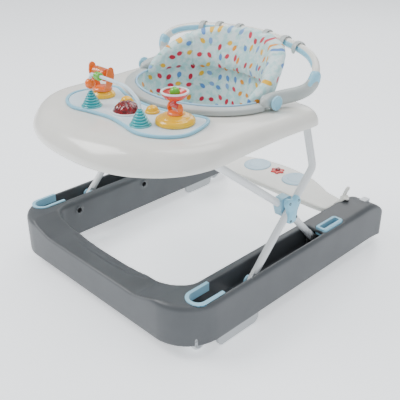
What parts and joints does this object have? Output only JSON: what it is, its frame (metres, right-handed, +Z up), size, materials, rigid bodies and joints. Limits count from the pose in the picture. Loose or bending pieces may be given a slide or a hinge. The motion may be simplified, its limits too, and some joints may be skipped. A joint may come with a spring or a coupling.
{
  "type": "baby walker",
  "caption": "Folding baby walker: wheeled U-shaped base, scissor legs, round bumper tray with toy panel, fabric sling seat with hooped back, rear foot panel.",
  "frame": {"origin": "on the floor, under the middle of the walker's box", "axes": "+X is left-right, -Y is the front (tray and toys), +Y is the rear, +Z is up"},
  "size_m": [0.6, 0.77, 0.527],
  "materials": {
    "grey_plastic": "satin moulded polypropylene",
    "aqua_plastic": "satin moulded",
    "dark_plastic": "matt moulded",
    "steel": "zinc plated",
    "stopper_rubber": "matt rubber",
    "white_plastic": "satin moulded",
    "wheel_plastic": "satin moulded",
    "white_painted_steel": "powder coated",
    "ivory_gloss_plastic": "glossy moulded",
    "pale_grey_plastic": "satin moulded",
    "printed_fabric": "printed woven polyester",
    "circuit_board": "solder mask",
    "panel_plastic": "glossy moulded",
    "teal_plastic": "glossy moulded",
    "yellow_plastic": "glossy moulded",
    "orange_plastic": "glossy moulded",
    "red_clear_plastic": "clear tinted acrylic",
    "green_plastic": "glossy moulded",
    "coral_plastic": "glossy moulded",
    "pad_plastic": "glossy moulded"
  },
  "bodies": {
    "root": {"base_shell": "grey_plastic", "front_slot_liners": "aqua_plastic", "rear_grip_liners": "aqua_plastic", "rear_foot_sockets": "dark_plastic", "rear_foot_pins": "steel", "stoppers": "stopper_rubber", "stopper_screws": "steel", "rear_wheel_brackets": "white_plastic", "rear_axles": "steel"},
    "caster_right": {"caster_fork_right": "white_plastic"},
    "caster_left": {"caster_fork_left": "white_plastic"},
    "caster_roll_right": {"caster_wheels_right": "wheel_plastic"},
    "caster_roll_left": {"caster_wheels_left": "wheel_plastic"},
    "rear_roll_right": {"rear_wheels_right": "wheel_plastic"},
    "rear_roll_left": {"rear_wheels_left": "wheel_plastic"},
    "inner_frame": {"inner_legs": "white_painted_steel", "cross_bar": "white_painted_steel", "inner_hub_clips": "aqua_plastic"},
    "outer_frame": {"outer_legs": "white_painted_steel", "hub_covers": "aqua_plastic", "hub_pins": "steel"},
    "front_feet": {"sliding_feet": "aqua_plastic", "sliding_foot_pins": "steel"},
    "tray": {"tray_shell": "ivory_gloss_plastic", "seat_ring": "pale_grey_plastic", "seat_sling": "printed_fabric", "tray_clips": "aqua_plastic", "cross_bar_saddles": "dark_plastic", "back_pivot_lugs": "white_plastic", "tray_pins": "steel", "panel_rim": "aqua_plastic", "music_box": "white_plastic", "circuit_board": "circuit_board", "speaker": "dark_plastic", "battery_door": "white_plastic", "play_panel": "panel_plastic", "dome_bezel": "white_plastic", "arch_springs": "teal_plastic", "toy_bases": "yellow_plastic", "left_toy_fork": "orange_plastic", "right_toy_fork": "orange_plastic"},
    "back_rest": {"back_hoop": "ivory_gloss_plastic", "arm_covers": "pale_grey_plastic", "cover_hooks": "pale_grey_plastic", "back_pad": "printed_fabric"},
    "knob_right": {"lock_knob_right": "aqua_plastic"},
    "knob_left": {"lock_knob_left": "aqua_plastic"},
    "dome": {"dome_button": "red_clear_plastic"},
    "button_right": {"play_button_right": "yellow_plastic"},
    "button_left": {"play_button_left": "yellow_plastic"},
    "arch": {"toy_arch": "panel_plastic"},
    "bead": {"arch_bead": "green_plastic"},
    "ball": {"arch_ball": "orange_plastic"},
    "drum": {"spin_drum": "red_clear_plastic"},
    "bowl": {"spin_bowl": "coral_plastic", "bowl_ball": "green_plastic"},
    "panel_rear": {"foot_panel": "ivory_gloss_plastic"},
    "pad_right": {"foot_pad_right": "pad_plastic"},
    "pad_left": {"foot_pad_left": "pad_plastic"},
    "flower": {"flower_button": "coral_plastic"}
  },
  "joints": [
    {"name": "caster_swivel_right", "type": "hinge", "parent": "root", "child": "caster_right", "pos_m": [0.258, -0.254, 0.046], "axis": [0, 0, 1], "continuous": true},
    {"name": "caster_spin_right", "type": "hinge", "parent": "caster_right", "child": "caster_roll_right", "pos_m": [0.258, -0.247, 0.02], "axis": [1, 0, 0], "continuous": true},
    {"name": "rear_spin_right", "type": "hinge", "parent": "root", "child": "rear_roll_right", "pos_m": [0.262, 0.33, 0.02], "axis": [1, 0, 0], "continuous": true},
    {"name": "caster_swivel_left", "type": "hinge", "parent": "root", "child": "caster_left", "pos_m": [-0.258, -0.254, 0.046], "axis": [0, 0, 1], "continuous": true},
    {"name": "caster_spin_left", "type": "hinge", "parent": "caster_left", "child": "caster_roll_left", "pos_m": [-0.258, -0.247, 0.02], "axis": [1, 0, 0], "continuous": true},
    {"name": "rear_spin_left", "type": "hinge", "parent": "root", "child": "rear_roll_left", "pos_m": [-0.262, 0.33, 0.02], "axis": [1, 0, 0], "continuous": true},
    {"name": "fold", "type": "hinge", "parent": "root", "child": "inner_frame", "pos_m": [0, 0.125, 0.095], "axis": [1, 0, 0], "range_deg": [0, 36]},
    {"name": "scissor", "type": "hinge", "parent": "inner_frame", "child": "outer_frame", "pos_m": [0, 0.0085, 0.218], "axis": [1, 0, 0], "range_deg": [-72, 0]},
    {"name": "foot_level", "type": "hinge", "parent": "outer_frame", "child": "front_feet", "pos_m": [0, -0.108, 0.095], "axis": [1, 0, 0], "range_deg": [0, 36]},
    {"name": "tray_level", "type": "hinge", "parent": "outer_frame", "child": "tray", "pos_m": [0, 0.088, 0.375], "axis": [1, 0, 0], "range_deg": [0, 36]},
    {"name": "back_fold", "type": "hinge", "parent": "tray", "child": "back_rest", "pos_m": [0, 0.035, 0.422], "axis": [1, 0, 0], "range_deg": [0, 95]},
    {"name": "knob_press_right", "type": "slide", "parent": "back_rest", "child": "knob_right", "axis": [-1, 0, 0], "range_m": [0, 0.004], "stiffness_N_per_m": 600},
    {"name": "knob_press_left", "type": "slide", "parent": "back_rest", "child": "knob_left", "axis": [1, 0, 0], "range_m": [0, 0.004], "stiffness_N_per_m": 600},
    {"name": "dome_press", "type": "slide", "parent": "tray", "child": "dome", "axis": [0, 0, -1], "range_m": [0, 0.003], "stiffness_N_per_m": 700},
    {"name": "button_press_right", "type": "slide", "parent": "tray", "child": "button_right", "axis": [0, 0, -1], "range_m": [0, 0.003], "stiffness_N_per_m": 500},
    {"name": "button_press_left", "type": "slide", "parent": "tray", "child": "button_left", "axis": [0, 0, -1], "range_m": [0, 0.003], "stiffness_N_per_m": 500},
    {"name": "arch_rock", "type": "hinge", "parent": "tray", "child": "arch", "pos_m": [0, -0.214, 0.442], "axis": [1, 0, 0], "range_deg": [-15, 15], "stiffness_Nm_per_rad": 0.6},
    {"name": "bead_slide", "type": "slide", "parent": "arch", "child": "bead", "axis": [1, 0, 0], "range_m": [0, 0.06]},
    {"name": "ball_spin", "type": "hinge", "parent": "arch", "child": "ball", "pos_m": [-0.077, -0.214, 0.455], "axis": [0, 0, 1], "continuous": true},
    {"name": "drum_spin", "type": "hinge", "parent": "tray", "child": "drum", "pos_m": [-0.114, -0.158, 0.4562], "axis": [1, 0, 0], "continuous": true},
    {"name": "bowl_tilt", "type": "hinge", "parent": "tray", "child": "bowl", "pos_m": [0.114, -0.158, 0.4422], "axis": [1, 0, 0], "range_deg": [-25, 25]},
    {"name": "panel_lift", "type": "slide", "parent": "root", "child": "panel_rear", "axis": [0, 0, 1], "range_m": [0, 0.045]},
    {"name": "pad_press_right", "type": "slide", "parent": "panel_rear", "child": "pad_right", "axis": [0, 0, -1], "range_m": [0, 0.003], "stiffness_N_per_m": 900},
    {"name": "pad_press_left", "type": "slide", "parent": "panel_rear", "child": "pad_left", "axis": [0, 0, -1], "range_m": [0, 0.003], "stiffness_N_per_m": 900},
    {"name": "flower_press", "type": "slide", "parent": "panel_rear", "child": "flower", "axis": [0, 0, -1], "range_m": [0, 0.003], "stiffness_N_per_m": 600}
  ],
  "couplings": [
    {"joint": "scissor", "follows": "fold", "ratio": -2},
    {"joint": "foot_level", "follows": "fold", "ratio": 1},
    {"joint": "tray_level", "follows": "fold", "ratio": 1}
  ]
}
